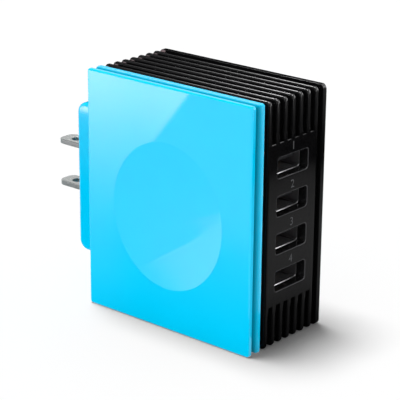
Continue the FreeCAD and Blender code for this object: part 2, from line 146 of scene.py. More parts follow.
def map_range(tree, value, places, shares=(0, 1), smooth=False):
    """A value between two places, as a share between two others."""
    names = ("Value", "From Min", "From Max", "To Min", "To Max")
    node = add_node(tree, "ShaderNodeMapRange", dict(zip(names, (value, *places, *shares))))
    node.interpolation_type = "SMOOTHSTEP" if smooth else "LINEAR"
    return node.outputs["Result"]


print("helpers:", new_material.__name__, add_node.__name__, wire.__name__, map_range.__name__)

# %% [markdown]
# Most finishes here are one recipe with other numbers: a base colour that wanders a little, a
# roughness that wanders with it, and a bump of the same grain. The noise reads Object coordinates in
# metres, so a grain size is a real size. What is the same all over a surface, such as the metal
# share, is set on the shader's own socket.

# %% A recipe for grained finishes
NOISE_SPAN = (0.3, 0.7)
NOISE_DETAIL = 3


def linear(red, green, blue):
    """A screen colour from 0 to 255 as the linear colour that a shader takes."""
    shares = [value / 255 for value in (red, green, blue)]
    return tuple(share / 12.92 if share <= 0.04045 else ((share + 0.055) / 1.055) ** 2.4 for share in shares)


def grained_finish(name, colour, roughness, grain, tone=0.08, swing=0.05, depth=0.0, metal=0.0,
                   specular=0.5, stretch=(1, 1, 1)):
    """A finish whose colour, roughness and bump follow one noise; grain and depth are in metres."""
    material, tree, shader = new_material(name)
    place = add_node(tree, "ShaderNodeTexCoord").outputs["Object"]
    place = add_node(tree, "ShaderNodeMapping", {"Vector": place, "Scale": stretch}).outputs["Vector"]
    values = {"Vector": place, "Scale": 1 / grain, "Detail": NOISE_DETAIL}
    noise = add_node(tree, "ShaderNodeTexNoise", values).outputs["Fac"]
    tones = add_node(tree, "ShaderNodeValToRGB", {"Fac": noise})
    for end, spot, share in zip(tones.color_ramp.elements, NOISE_SPAN, (1 - tone, 1 + tone)):
        end.position = spot
        end.color = [min(1, channel * share) for channel in colour] + [1]
    gloss = map_range(tree, noise, NOISE_SPAN, (roughness - swing, roughness + swing))
    set_inputs(tree, shader, {"Base Color": tones.outputs["Color"], "Roughness": gloss, "Metallic": metal,
                              "Specular IOR Level": specular})
    if depth:
        bump = add_node(tree, "ShaderNodeBump", {"Strength": 1, "Distance": depth, "Height": noise})
        set_inputs(tree, shader, {"Normal": bump.outputs["Normal"]})
    return material


def paint_shade_and_highlight_along(material, axis, places, shares):
    """Paint shade and highlights into a finish's colour, by a share that changes between two places on an
    axis.
    """
    tree = material.node_tree
    shader = tree.nodes["Principled BSDF"]
    tones = shader.inputs["Base Color"].links[0].from_socket
    place = add_node(tree, "ShaderNodeTexCoord").outputs["Object"]
    split = add_node(tree, "ShaderNodeSeparateXYZ", {"Vector": place})
    share = map_range(tree, split.outputs[axis], places, shares)
    painted_colour = add_node(tree, "ShaderNodeVectorMath", operation="SCALE")
    set_inputs(tree, painted_colour, {0: tones, "Scale": share})
    set_inputs(tree, shader, {"Base Color": painted_colour.outputs["Vector"]})


BLUE = linear(0, 204, 251)
DEEPER_BLUE = linear(0, 197, 244)
GLOSS = {"roughness": 0.035, "grain": 9 * MM, "tone": 0.012, "swing": 0.01, "depth": 0.0004 * MM,
         "specular": 0.45}
blue_gloss = grained_finish("blue_gloss_finish", BLUE, **GLOSS)
black_plastic = grained_finish("black_plastic_finish", linear(12, 12, 13), 0.14, 0.22 * MM, tone=0.25,
                               swing=0.03, depth=0.0008 * MM, specular=0.25)
# A glossier black for the walls of the windows; the housing cell paints a highlight on their lips.
polished_black_with_painted_highlight = grained_finish("polished_black_finish", linear(18, 18, 19), 0.2, 0.3 * MM, tone=0.2,
                                swing=0.04, depth=0.002 * MM, specular=0.6)
print("finishes:", blue_gloss.name, black_plastic.name, polished_black_with_painted_highlight.name)

# %% [markdown]
# The blue panel, the cover, the back, the ribs and even the plug block are all slices of the same
# idea: an outline with rounded corners, carried along an axis while it shrinks a little at the
# edges. So the helpers are an outline, a quarter circle for the edge, and a skin over a row of such
# outlines. A bevel modifier could round the edges too, but an outline at a place says exactly where
# each edge starts and ends.

# %% Outlines and skins
X, Y, Z = range(3)
CORNER_STEPS = 8
EDGE_STEPS = 6
MERGE_DISTANCE = 0.0005 * MM
SQUARE_CORNER = MERGE_DISTANCE * 4


def rounded_rectangle(low, high, radii, side_steps=1):
    """Points round a rectangle from its lower left corner on, with a radius, or two, for each corner."""
    low_u, low_v = low
    high_u, high_v = high
    corners = ((low_u, low_v, 1, 1), (high_u, low_v, -1, 1), (high_u, high_v, -1, -1),
               (low_u, high_v, 1, -1))
    points = []
    for index, (u, v, side_u, side_v) in enumerate(corners):
        wide, tall = radii[index] if isinstance(radii[index], tuple) else (radii[index],) * 2
        start = math.pi + index * math.pi / 2
        for step in range(CORNER_STEPS + 1):
            angle = start + step / CORNER_STEPS * math.pi / 2
            points.append((u + wide * (side_u + math.cos(angle)), v + tall * (side_v + math.sin(angle))))
    shares = [step / side_steps for step in range(1, side_steps)]
    spread = []
    for index, point in enumerate(points):
        spread.append(point)
        if (index + 1) % (CORNER_STEPS + 1) == 0:
            after = points[(index + 1) % len(points)]
            spread += [tuple(a + (b - a) * share for a, b in zip(point, after)) for share in shares]
    return spread


def circle(radius, steps):
    """Points round a circle about the origin."""
    turns = [step / steps * math.tau for step in range(steps)]
    return [(radius * math.cos(turn), radius * math.sin(turn)) for turn in turns]


def round_over(radius, steps=EDGE_STEPS):
    """Pairs of inset and depth along a quarter circle, from the face of a part round to its side."""
    angles = [step / steps * math.pi / 2 for step in range(steps + 1)]
    return [(radius * (1 - math.sin(angle)), radius * (1 - math.cos(angle))) for angle in angles]


def rounded_run(start, end, start_radius, end_radius, steps=EDGE_STEPS):
    """Pairs of place and inset from one end of a part to the other, with both ends rounded over."""
    places = [(start + depth, inset) for inset, depth in round_over(start_radius, steps)]
    return places + [(end - depth, inset) for inset, depth in reversed(round_over(end_radius, steps))]


def cleaned(work):
    """Merge the points of a mesh that coincide, and turn its faces outwards."""
    bmesh.ops.remove_doubles(work, verts=work.verts, dist=MERGE_DISTANCE)
    bmesh.ops.recalc_face_normals(work, faces=work.faces)
    return work


def skin(axis, stations, loop=False):
    """A skin over pairs of place and outline along an axis, closed by caps unless it runs in a loop."""
    work = bmesh.new()
    rows = []
    for place, outline in stations:
        rows.append([work.verts.new((*point[:axis], place, *point[axis:])) for point in outline])
    pairs = list(zip(rows, rows[1:]))
    if loop:
        pairs.append((rows[-1], rows[0]))
    else:
        work.faces.new(rows[0])
        work.faces.new(rows[-1])
    for first, second in pairs:
        for index, point in enumerate(first):
            after = (index + 1) % len(first)
            work.faces.new((point, first[after], second[after], second[index]))
    return cleaned(work)


def box_skin(low, high):
    """The skin of a plain box."""
    outline = ((low.y, low.z), (high.y, low.z), (high.y, high.z), (low.y, high.z))
    return skin(X, [(x, outline) for x in (low.x, high.x)])


def mesh_skin(mesh):
    """A copy of a mesh to join with others."""
    work = bmesh.new()
    work.from_mesh(mesh)
    return work


print("an outline has", len(rounded_rectangle((0, 0), (1, 1), (0.1,) * 4)), "points")

# %% [markdown]
# Skins become pieces, and pieces are joined, cut and smoothed. Modifiers do that work, but what they
# give is turned into a plain mesh at once, so that the piece that is looked at is the piece that is
# kept. A finished piece then rides on the part and stands in for the solid it was made from.

# %% From skins to pieces
SMOOTH_ANGLE = math.radians(32)


def make_piece(name, parts, finish):
    """One object from one or more skins, linked to the scene."""
    mesh = bpy.data.meshes.new(name)
    joined = bmesh.new()
    for part in parts:
        loose = bpy.data.meshes.new("loose")
        part.to_mesh(loose)
        part.free()
        joined.from_mesh(loose)
        bpy.data.meshes.remove(loose)
    joined.to_mesh(mesh)
    joined.free()
    mesh.materials.append(finish)
    piece = bpy.data.objects.new(name, mesh)
    bpy.context.scene.collection.objects.link(piece)
    return piece


def final_mesh(thing):
    """The plain mesh that an object gives after its modifiers."""
    bpy.context.view_layer.update()
    graph = bpy.context.evaluated_depsgraph_get()
    return bpy.data.meshes.new_from_object(thing.evaluated_get(graph), depsgraph=graph)


def settle(piece):
    """Turn what the modifiers give into the piece's own mesh."""
    mesh = final_mesh(piece)
    piece.modifiers.clear()
    piece.data = mesh


def combine(piece, operation, parts, finish=None):
    """Add other skins to a piece, or cut them away, as volumes that may leave a finish of their own."""
    tool = make_piece("tool", parts, finish or piece.data.materials[0])
    change = piece.modifiers.new("change", "BOOLEAN")
    change.operation = operation
    change.solver = "EXACT"
    change.material_mode = "TRANSFER"
    change.object = tool
    settle(piece)
    bpy.data.objects.remove(tool)


def soften(piece, sharp_edge=None):
    """Shade gentle edges smooth, keep flats flat, and keep the edges that a test picks sharp."""
    mesh = piece.data
    mesh.shade_smooth()
    mesh.set_sharp_from_angle(angle=SMOOTH_ANGLE)
    if sharp_edge:
        for edge in mesh.edges:
            if all(sharp_edge(mesh.vertices[index].co) for index in edge.vertices):
                edge.use_edge_sharp = True
    weigh = piece.modifiers.new("weigh", "WEIGHTED_NORMAL")
    weigh.keep_sharp = True
    settle(piece)


def stand_for(piece, node, sharp_edge=None):
    """Smooth a piece, fix it to the body and show it instead of its solid."""
    soften(piece, sharp_edge)
    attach(piece, "root")
    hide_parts(node)
    print(piece.name, "stands for", node, "with", len(piece.data.polygons), "faces")


housing_low, housing_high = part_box("housing")
half_width = housing_high.x
height = housing_high.z
print("housing in mm:", [round(side / MM, 2) for side in housing_high - housing_low])

# %% [markdown]
# The face panel is a thin moulded plate with a very shallow dish, like a lens pressed into it. The
# dish is what bends the reflections on the face, so it has to be an even curve with a crisp rim. Its
# rings share their angles with the plate's outline, which lets one skin run from the middle of the
# dish out over the edge to the back.

# %% Face panel
OUTLINE_RADIUS = 1.3 * MM
FACE_RADIUS = 0.8 * MM
PANEL_EDGE = 0.5 * MM
BACK_EDGE = 0.15 * MM
DISH_HALF_WIDTH = 19.3 * MM
DISH_HALF_HEIGHT = 20.7 * MM
DISH_DEPTH = 0.8 * MM
DISH_DROP = 1.7 * MM
DISH_RINGS = 24
RIM_SHARE_ERROR = 0.0005
RIM_DEPTH_ERROR = 0.01 * MM
SIDE_STEPS = 20

panel_low, panel_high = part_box("face_panel")
dish_z = height / 2 - DISH_DROP


def housing_outline(inset, radius=None, side_steps=1):
    """The outline of the housing, drawn in by an inset."""
    corner = max(OUTLINE_RADIUS - inset if radius is None else radius, SQUARE_CORNER)
    low = (-half_width + inset, inset)
    high = (half_width - inset, height - inset)
    return rounded_rectangle(low, high, (corner,) * 4, side_steps)


def face_outline(inset, side_steps=1):
    """The outline of the blue plates, whose corners are sharper than those of the ribs."""
    return housing_outline(inset, FACE_RADIUS - inset, side_steps)


def dish_station(share, outline):
    """The dish at a share of its size: its depth, and points in the directions of an outline's points."""
    points = []
    for x, z in outline:
        angle = math.atan2(z - dish_z, x)
        wide = DISH_HALF_WIDTH * share * math.cos(angle)
        tall = DISH_HALF_HEIGHT * share * math.sin(angle)
        points.append((wide, dish_z + tall))
    return panel_low.y + DISH_DEPTH * (1 - share ** 2), points


def on_dish_rim(point):
    """True for a point on the rim of the dish."""
    share = math.hypot(point.x / DISH_HALF_WIDTH, (point.z - dish_z) / DISH_HALF_HEIGHT)
    return abs(share - 1) < RIM_SHARE_ERROR and abs(point.y - panel_low.y) < RIM_DEPTH_ERROR


def make_face_panel():
    """The dished plate, skinned from the middle of the dish to the back."""
    first = face_outline(PANEL_EDGE, SIDE_STEPS)
    stations = [dish_station((step + 1) / DISH_RINGS, first) for step in range(DISH_RINGS)]
    run = rounded_run(panel_low.y, panel_high.y, PANEL_EDGE, BACK_EDGE)
    stations += [(y, face_outline(inset, SIDE_STEPS)) for y, inset in run]
    return make_piece("blue_face_panel", [skin(Y, stations)], blue_gloss)


stand_for(make_face_panel(), "face_panel", on_dish_rim)

# %% [markdown]
# Behind the panel sits the cover plate. A narrower neck holds the panel off it, which leaves the
# dark groove all round the face. Little light gets down there, so shade is painted into the blue:
# its colour darkens towards the bottom of the groove. Four straight tongues on its back locate it in
# the housing, and they are hidden once it is closed, but a part that someone opens should have
# them, so they are made here and again for the back.

# %% Front cover
COVER_THICKNESS = 2.1 * MM
COVER_EDGE = 1.25 * MM
NECK_INSET = 2.4 * MM
# Painted shade in the groove: how far it reaches into the cover, and the share of the blue at its bottom.
GROOVE_SHADE = 1.6 * MM
GROOVE_PAINTED_SHADE = 0.45
WALL = 2.8 * MM
LIP_CLEARANCE = 0.15 * MM
LIP_THICKNESS = 1.2 * MM
LIP_CORNER_GAP = 4.0 * MM

cover_blue_with_painted_shade = grained_finish("blue_cover_finish", BLUE, 0.08, 9 * MM, tone=0.012, swing=0.02, specular=0.12)


def lip_skins(front, back):
    """The four tongues of a cover, one along each wall of the housing, between two depths."""
    outer = half_width - WALL - LIP_CLEARANCE
    inner = outer - LIP_THICKNESS
    bottom = WALL + LIP_CLEARANCE
    top = height - bottom
    gap = LIP_CORNER_GAP
    spans = (
        ((-outer, bottom + gap), (-inner, top - gap)),
        ((inner, bottom + gap), (outer, top - gap)),
        ((-outer + gap, bottom), (outer - gap, bottom + LIP_THICKNESS)),
        ((-outer + gap, top - LIP_THICKNESS), (outer - gap, top)),
    )
    return [box_skin(Vector((a[0], front, a[1])), Vector((b[0], back, b[1]))) for a, b in spans]


def make_front_cover():
    """The cover plate with its neck and its tongues."""
    low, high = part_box("front_cover")
    plate_back = housing_low.y
    plate_front = plate_back - COVER_THICKNESS
    stations = [(y, housing_outline(NECK_INSET, OUTLINE_RADIUS)) for y in (low.y, plate_front)]
    run = rounded_run(plate_front, plate_back, COVER_EDGE, BACK_EDGE)
    stations += [(y, face_outline(inset)) for y, inset in run]
    # Painted shade: the blue of the cover darkens towards the bottom of the groove.
    paint_shade_and_highlight_along(cover_blue_with_painted_shade, "Y", (plate_front, plate_front + GROOVE_SHADE), (GROOVE_PAINTED_SHADE, 1))
    parts = [skin(Y, stations)] + lip_skins(plate_back, high.y)
    return make_piece("blue_front_cover", parts, cover_blue_with_painted_shade)


stand_for(make_front_cover(), "front_cover")

# %% [markdown]
# The housing is the piece that gives the charger its look: seven ribs run round all four sides like
# the fins of a heat sink. One rib is a slab with rounded crests, and a Geometry Nodes tree sets it
# out at an even pitch. The tree takes the rib, the count, the pitch and the finish as named inputs,
# so another housing only needs other numbers.

# %% One rib and the tree that repeats it
RIB_COUNT = 7
GROOVE_WIDTH = 1.85 * MM
GROOVE_DEPTH = 1.3 * MM
CREST_RADIUS = 0.62 * MM
rib_pitch = (housing_high.y - housing_low.y - GROOVE_WIDTH) / RIB_COUNT
rib_width = rib_pitch - GROOVE_WIDTH


def make_rib():
    """One rib round the housing, about the plane of the sockets."""
    run = rounded_run(-rib_width / 2, rib_width / 2, CREST_RADIUS, CREST_RADIUS)
    stations = [(y, housing_outline(inset)) for y, inset in run]
    return make_piece("rib", [skin(Y, stations)], black_plastic)


def make_rib_tree():
    """A node group that repeats one object along Y at a pitch, about the middle of the row."""
    tree = bpy.data.node_groups.new("rib_row", "GeometryNodeTree")
    kinds = {"Geometry": "Geometry", "Rib": "Object", "Count": "Int", "Pitch": "Float", "Finish": "Material"}
    for label, kind in kinds.items():
        tree.interface.new_socket(label, in_out="INPUT", socket_type="NodeSocket" + kind)
    tree.interface.new_socket("Geometry", in_out="OUTPUT", socket_type="NodeSocketGeometry")
    given = add_node(tree, "NodeGroupInput").outputs
    span = wire(tree, "MULTIPLY", wire(tree, "SUBTRACT", given["Count"], 1), given["Pitch"])
    start = add_node(tree, "ShaderNodeCombineXYZ", {"Y": wire(tree, "MULTIPLY", span, -0.5)})
    offset = add_node(tree, "ShaderNodeCombineXYZ", {"Y": given["Pitch"]})
    values = {"Count": given["Count"], "Start Location": start.outputs[0], "Offset": offset.outputs[0]}
    line = add_node(tree, "GeometryNodeMeshLine", values)
    shape = add_node(tree, "GeometryNodeObjectInfo", {"Object": given["Rib"]})
    values = {"Points": line.outputs["Mesh"], "Instance": shape.outputs["Geometry"]}
    copies = add_node(tree, "GeometryNodeInstanceOnPoints", values)
    real = add_node(tree, "GeometryNodeRealizeInstances", {"Geometry": copies.outputs["Instances"]})
    values = {"Geometry": real.outputs["Geometry"], "Material": given["Finish"]}
    paint = add_node(tree, "GeometryNodeSetMaterial", values)
    add_node(tree, "NodeGroupOutput", {"Geometry": paint.outputs["Geometry"]})
    return tree


def make_ribs():
    """The row of ribs as one plain mesh, from the named inputs of the tree."""
    rib = make_rib()
    values = {"Rib": rib, "Count": RIB_COUNT, "Pitch": rib_pitch, "Finish": black_plastic}
    row = make_piece("rib_row", [bmesh.new()], black_plastic)
    nodes = row.modifiers.new("rib_row", "NODES")
    nodes.node_group = make_rib_tree()
    for socket in nodes.node_group.interface.items_tree:
        if socket.in_out == "INPUT" and socket.name in values:
            nodes[socket.identifier] = values[socket.name]
    settle(row)
    bpy.data.objects.remove(rib)
    return row


rib_row = make_ribs()
print("ribs:", RIB_COUNT, "pitch in mm:", round(rib_pitch / MM, 3), "faces:", len(rib_row.data.polygons))

# %% [markdown]
# The rest of the housing is a plain sleeve, a flat field on each side where the grooves stop, a
# window for each socket and a hole for the plug. Where a rib meets the field, its crest runs out
# into it over a few millimetres, which gives each groove its own small ledge. The window cutters
# flare at the outside, so that each window gets a small round lip.

# %% Fields, windows and plug hole
PORTS = 4
WINDOW_WIDTH = 12.9 * MM
WINDOW_HEIGHT = 5.6 * MM
WINDOW_RADIUS = 0.8 * MM
WINDOW_LIP = 0.25 * MM
# How many times lighter the painted highlight makes the colour at the lips of the windows.
WINDOW_EDGE_HIGHLIGHT = 7
FIELD_MARGIN = 4.15 * MM
FIELD_PROUD = 0.02 * MM
LEDGE_RADIUS = 0.35 * MM
RUN_OUT = 3.0 * MM
RUN_OUT_INSET = 0.02 * MM
RUN_OUT_SLOPE = 10
CAVITY_RADIUS = 1.0 * MM
OVERCUT = 1.0 * MM
SPIGOT_CLEARANCE = 0.1 * MM
SPIGOT_SIDE = 4.0 * MM
SPIGOT_END = 5.0 * MM

shell_boxes = [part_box("usb_shell_%d" % (port + 1)) for port in range(PORTS)]
port_heights = [(low.z + high.z) / 2 for low, high in shell_boxes]
blade_boxes = [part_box("blade_upper"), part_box("blade_lower")]
blade_middle = (blade_boxes[0][1].z + blade_boxes[1][0].z) / 2
spigot_half_y = blade_boxes[0][1].y + SPIGOT_SIDE
spigot_half_z = (blade_boxes[0][1].z - blade_boxes[1][0].z) / 2 + SPIGOT_END


def window_skin(port_z):
    """The cutter of one window, wider by a round lip at the outer face."""
    run = [(half_width - WALL - OVERCUT, 0)]
    run += [(half_width + FIELD_PROUD - inset, depth) for inset, depth in round_over(WINDOW_LIP)]
    run.append((half_width + OVERCUT, WINDOW_LIP))
    stations = []
    for x, grow in run:
        low = (-WINDOW_WIDTH / 2 - grow, port_z - WINDOW_HEIGHT / 2 - grow)
        high = (WINDOW_WIDTH / 2 + grow, port_z + WINDOW_HEIGHT / 2 + grow)
        stations.append((x, rounded_rectangle(low, high, (WINDOW_RADIUS + grow,) * 4)))
    return skin(X, stations)


def field_outline(side, extend, corner):
    """The section of the field on one side, with rounded outer corners, made longer at both ends."""
    inner = side * (half_width - GROOVE_DEPTH - OVERCUT - extend / RUN_OUT_SLOPE)
    outer = side * (half_width + FIELD_PROUD)
    low_z = port_heights[-1] - WINDOW_HEIGHT / 2 - FIELD_MARGIN - extend
    high_z = port_heights[0] + WINDOW_HEIGHT / 2 + FIELD_MARGIN + extend
    radii = [SQUARE_CORNER, corner, corner, SQUARE_CORNER]
    if side < 0:
        radii = [corner, SQUARE_CORNER, SQUARE_CORNER, corner]
    return rounded_rectangle((min(inner, outer), low_z), (max(inner, outer), high_z), radii)


def field_skin(side):
    """The flat field on one side, with a ledge at each groove, where each rib's crest runs out into it."""
    ledge = field_outline(side, 0, LEDGE_RADIUS)
    run_out = field_outline(side, RUN_OUT, (CREST_RADIUS, LEDGE_RADIUS + RUN_OUT))
    reach = (RIB_COUNT - 1) / 2 * rib_pitch
    half_rib = rib_width / 2 - RUN_OUT_INSET
    stations = []
    for rib in range(RIB_COUNT):
        middle = rib * rib_pitch - reach
        start, end = max(middle - half_rib, -reach), min(middle + half_rib, reach)
        stations += [(start, ledge), (start, run_out), (end, run_out), (end, ledge)]
    return skin(Y, stations)


def spigot_skin(grow, start, end):
    """The bar of the plug block that passes through the wall of the housing."""
    low = Vector((start, -spigot_half_y - grow, blade_middle - spigot_half_z - grow))
    high = Vector((end, spigot_half_y + grow, blade_middle + spigot_half_z + grow))
    return box_skin(low, high)


print("windows at z in mm:", [round(port_z / MM, 2) for port_z in port_heights])

# %% [markdown]
# Joining and cutting closed volumes keeps the mesh as one skin, which is what the real moulding is.
# What is added comes first and what is cut comes last, so that every cut goes through all of it.
# The round lips of the windows get a painted highlight: their colour is lighter there.

# %% Housing
def make_housing():
    """The ribbed sleeve with its fields, windows and plug hole."""
    low_y, high_y = housing_low.y, housing_high.y
    sleeve = skin(Y, [(y, housing_outline(GROOVE_DEPTH)) for y in (low_y, high_y)])
    hollow = housing_outline(WALL, CAVITY_RADIUS)
    cavity = skin(Y, [(y, hollow) for y in (low_y - OVERCUT, high_y + OVERCUT)])
    windows = [window_skin(port_z) for port_z in port_heights]
    passage = spigot_skin(SPIGOT_CLEARANCE, -half_width - OVERCUT, -half_width + WALL + OVERCUT)
    # Painted highlight: the colour of the window walls grows lighter towards their outer lips.
    paint_shade_and_highlight_along(polished_black_with_painted_highlight, "X", (half_width - WINDOW_LIP, half_width), (1, WINDOW_EDGE_HIGHLIGHT))
    housing = make_piece("ribbed_housing", [sleeve], black_plastic)
    combine(housing, "UNION", [mesh_skin(rib_row.data)])
    combine(housing, "UNION", [field_skin(1), field_skin(-1)])
    combine(housing, "DIFFERENCE", [cavity])
    combine(housing, "DIFFERENCE", windows, polished_black_with_painted_highlight)
    combine(housing, "DIFFERENCE", [passage])
    bpy.data.objects.remove(rib_row)
    return housing


stand_for(make_housing(), "housing")

# %% [markdown]
# The back closes the sleeve, and its rim reads as one more rib. Inside it has the same tongues as
# the front, four posts that hold the circuit board and two pins that locate it.

# %% Rear cover
REAR_EDGE = 0.6 * MM
POST_WIDTH = 4.5 * MM
POST_INSET = 3.2 * MM
PIN_RADIUS = 0.9 * MM
PIN_STEPS = 24
LIP_LENGTH = 2.5 * MM


def make_rear_cover():
    """The back plate with its tongues, posts and pins."""
    board_low, board_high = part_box("main_board")
    seam = housing_high.y
    run = rounded_run(seam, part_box("rear_cover")[1].y, BACK_EDGE, REAR_EDGE)
    parts = [skin(Y, [(y, housing_outline(inset)) for y, inset in run])]
    parts += lip_skins(seam - LIP_LENGTH, seam)
    half = POST_WIDTH / 2
    left, right = board_low.x + POST_INSET, board_high.x - POST_INSET
    bottom, top = board_low.z + POST_INSET, board_high.z - POST_INSET
    for x in (left, right):
        for z in (bottom, top):
            low = Vector((x - half, board_high.y, z - half))
            parts.append(box_skin(low, Vector((x + half, seam, z + half))))
    for x, z in ((left, bottom), (right, top)):
        pin = [(x + aside, z + above) for aside, above in circle(PIN_RADIUS, PIN_STEPS)]
        parts.append(skin(Y, [(y, pin) for y in (board_low.y, board_high.y)]))
    return make_piece("black_rear_cover", parts, black_plastic)


stand_for(make_rear_cover(), "rear_cover")

# %% [markdown]
# The plug block stands on the side of the housing in a slightly deeper blue. Its outer corners are
# generous and its rims small, so it is skinned along Y with the rim as a quarter circle. Only the
# free sides shrink at the rim: the side against the housing stays square. The two slots are cut a
# hair wider than the blades, which leaves the fine dark line round them.

# %% Plug block
PLUG_CORNER = 3.0 * MM
PLUG_RIM = 1.0 * MM
SLOT_CLEARANCE = 0.08 * MM

plug_blue = grained_finish("blue_plug_finish", DEEPER_BLUE, **GLOSS)


def tipped_outline(low, high, inset, corner):
    """An outline that is drawn in and rounded on all but its last side in X, which stays square."""
    first = (low[0] + inset, low[1] + inset)
    last = (high[0], high[1] - inset)
    rounded = corner - inset
    return rounded_rectangle(first, last, (rounded, SQUARE_CORNER, SQUARE_CORNER, rounded))


def make_plug_block():
    """The block with its spigot and two blade slots."""
    low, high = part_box("plug_block")
    first, last = (low.x, low.z), (-half_width, high.z)
    run = rounded_run(low.y, high.y, PLUG_RIM, PLUG_RIM)
    stations = [(y, tipped_outline(first, last, inset, PLUG_CORNER)) for y, inset in run]
    block = make_piece("blue_plug_block", [skin(Y, stations)], plug_blue)
    combine(block, "UNION", [spigot_skin(0, -half_width - OVERCUT, high.x)])
    room = Vector((OVERCUT, SLOT_CLEARANCE, SLOT_CLEARANCE))
    slots = []
    for blade_low, blade_high in blade_boxes:
        slot_low = Vector((low.x, blade_low.y, blade_low.z)) - room
        slot_high = Vector((high.x, blade_high.y, blade_high.z)) + room
        slots.append(box_skin(slot_low, slot_high))
    combine(block, "DIFFERENCE", slots)
    return block


stand_for(make_plug_block(), "plug_block")

# %% [markdown]
# The blades are stamped from nickel-plated brass: flat, with a rounded tip, softened edges and a
# hole near the tip. Rolling leaves faint lines along the strip, so the same grained recipe is
# stretched along X for the metal. The press shears the sides and the hole, and a sheared edge is
# duller than the rolled face, so it gets a finish of its own. Its darker colour is partly that dull
# shear and partly painted shade, for the dark that the hole and the sides mirror.

# %% Blades
BLADE_TIP = 2.2 * MM
BLADE_EDGE = 0.25 * MM
BLADE_EDGE_STEPS = 4
STEEP = 0.5
HOLE_RADIUS = 1.6 * MM
HOLE_DISTANCE = 11.9 * MM
HOLE_LIP = 0.15 * MM
HOLE_LIP_STEPS = 3
HOLE_STEPS = 32

nickel = grained_finish("nickel_finish", linear(172, 176, 175), 0.26, 0.25 * MM, tone=0.07,
                        depth=0.001 * MM, metal=1.0, stretch=(0.05, 1, 1))
# Partly a duller shear and partly painted shade: darker than the nickel of the faces.
punched_edge_with_painted_shade = grained_finish("punched_edge_finish", linear(136, 146, 146), 0.4, 0.2 * MM, tone=0.1,
                              depth=0.001 * MM, metal=1.0, stretch=(1, 1, 0.1))


def hole_skin(x, low_z, high_z):
    """The cutter of a blade hole, flared at both faces."""
    run = [(low_z - OVERCUT, HOLE_LIP)]
    run += rounded_run(low_z, high_z, HOLE_LIP, HOLE_LIP, HOLE_LIP_STEPS)
    run.append((high_z + OVERCUT, HOLE_LIP))
    stations = []
    for z, grow in run:
        stations.append((z, [(x + aside, y) for aside, y in circle(HOLE_RADIUS + grow, HOLE_STEPS)]))
    return skin(Z, stations)


def make_blade(name, low, high):
    """One blade along X, with its tip at the lower end."""
    run = rounded_run(low.z, high.z, BLADE_EDGE, BLADE_EDGE, BLADE_EDGE_STEPS)
    stations = [(z, tipped_outline(low.xy, high.xy, inset, BLADE_TIP)) for z, inset in run]
    blade = make_piece(name, [skin(Z, stations)], nickel)
    hole_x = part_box("plug_block")[0].x - HOLE_DISTANCE
    combine(blade, "DIFFERENCE", [hole_skin(hole_x, low.z, high.z)], punched_edge_with_painted_shade)
    for face in blade.data.polygons:
        if abs(face.normal.z) < STEEP:
            face.material_index = blade.data.materials.find(punched_edge_with_painted_shade.name)
    return blade


for place, (blade_low, blade_high) in zip(("upper", "lower"), blade_boxes):
    stand_for(make_blade("nickel_blade_" + place, blade_low, blade_high), "blade_" + place)

# %% [markdown]
# Each socket is lined with a folded metal shell whose rolled rim sits just behind the window. That
# rim is small, but it is the brightest thing on the dark side of the charger, so it gets a real
# round lip. The shell is one closed skin: up the inside, over the lip, round the flange and back
# along the outside.

# %% Socket shells
SOCKET_WIDTH = 12.5 * MM
SOCKET_HEIGHT = 5.12 * MM
SOCKET_RADIUS = 0.6 * MM
SHELL_WALL = 0.3 * MM
SHELL_LIP = 0.3 * MM
SHELL_FLANGE = 0.6 * MM
SIDE_SHARE = 0.12

tin = grained_finish("tin_finish", linear(125, 125, 127), 0.2, 0.3 * MM, tone=0.05, swing=0.04,
                     depth=0.001 * MM, metal=0.65, stretch=(0.08, 1, 1))


def shell_outline(grow_y, grow_z, port_z):
    """The outline of the socket, made wider, where the side towards the board takes only the wall."""
    grow_back = min(grow_y, SHELL_WALL)
    low = (-SOCKET_WIDTH / 2 - grow_y, port_z - SOCKET_HEIGHT / 2 - grow_z)
    high = (SOCKET_WIDTH / 2 + grow_back, port_z + SOCKET_HEIGHT / 2 + grow_z)
    return rounded_rectangle(low, high, (SOCKET_RADIUS + grow_back,) * 4)


def make_shell(port):
    """The flanged shell of one socket with a rolled lip at its mouth."""
    rear, mouth = shell_boxes[port][0].x, shell_boxes[port][1].x
    flange = SHELL_WALL + SHELL_FLANGE
    back = mouth - SHELL_WALL
    run = [(rear, 0, 0)]
    run += [(mouth - inset, depth * SIDE_SHARE, depth) for inset, depth in round_over(SHELL_LIP)]
    run += [(mouth, flange, flange), (back, flange, flange)]
    run += [(back, SHELL_WALL, SHELL_WALL), (rear, SHELL_WALL, SHELL_WALL)]
    stations = [(x, shell_outline(grow_y, grow_z, port_heights[port])) for x, grow_y, grow_z in run]
    return make_piece("socket_shell_%d" % (port + 1), [skin(X, stations, loop=True)], tin)


for port in range(PORTS):
    stand_for(make_shell(port), "usb_shell_%d" % (port + 1))

# %% [markdown]
# A plain number over each socket tells them apart. Text is a curve in Blender, so it becomes a thin
# mesh first, and then its points are turned to stand on the socket side: the text's own X runs
# towards the back and its Y upwards.

# %% Socket numbers
NUMBER_HEIGHT = 2.3 * MM
NUMBER_RAISE = 0.03 * MM
NUMBER_GAP = 1.1 * MM
SIZE_FOR_HEIGHT = 1.4
ON_SOCKET_SIDE = Matrix(((0, 0, 1), (1, 0, 0), (0, 1, 0))).to_4x4()

number_print = grained_finish("number_print_finish", linear(74, 75, 77), 0.55, 0.15 * MM, tone=0.12,
                              specular=0.2)


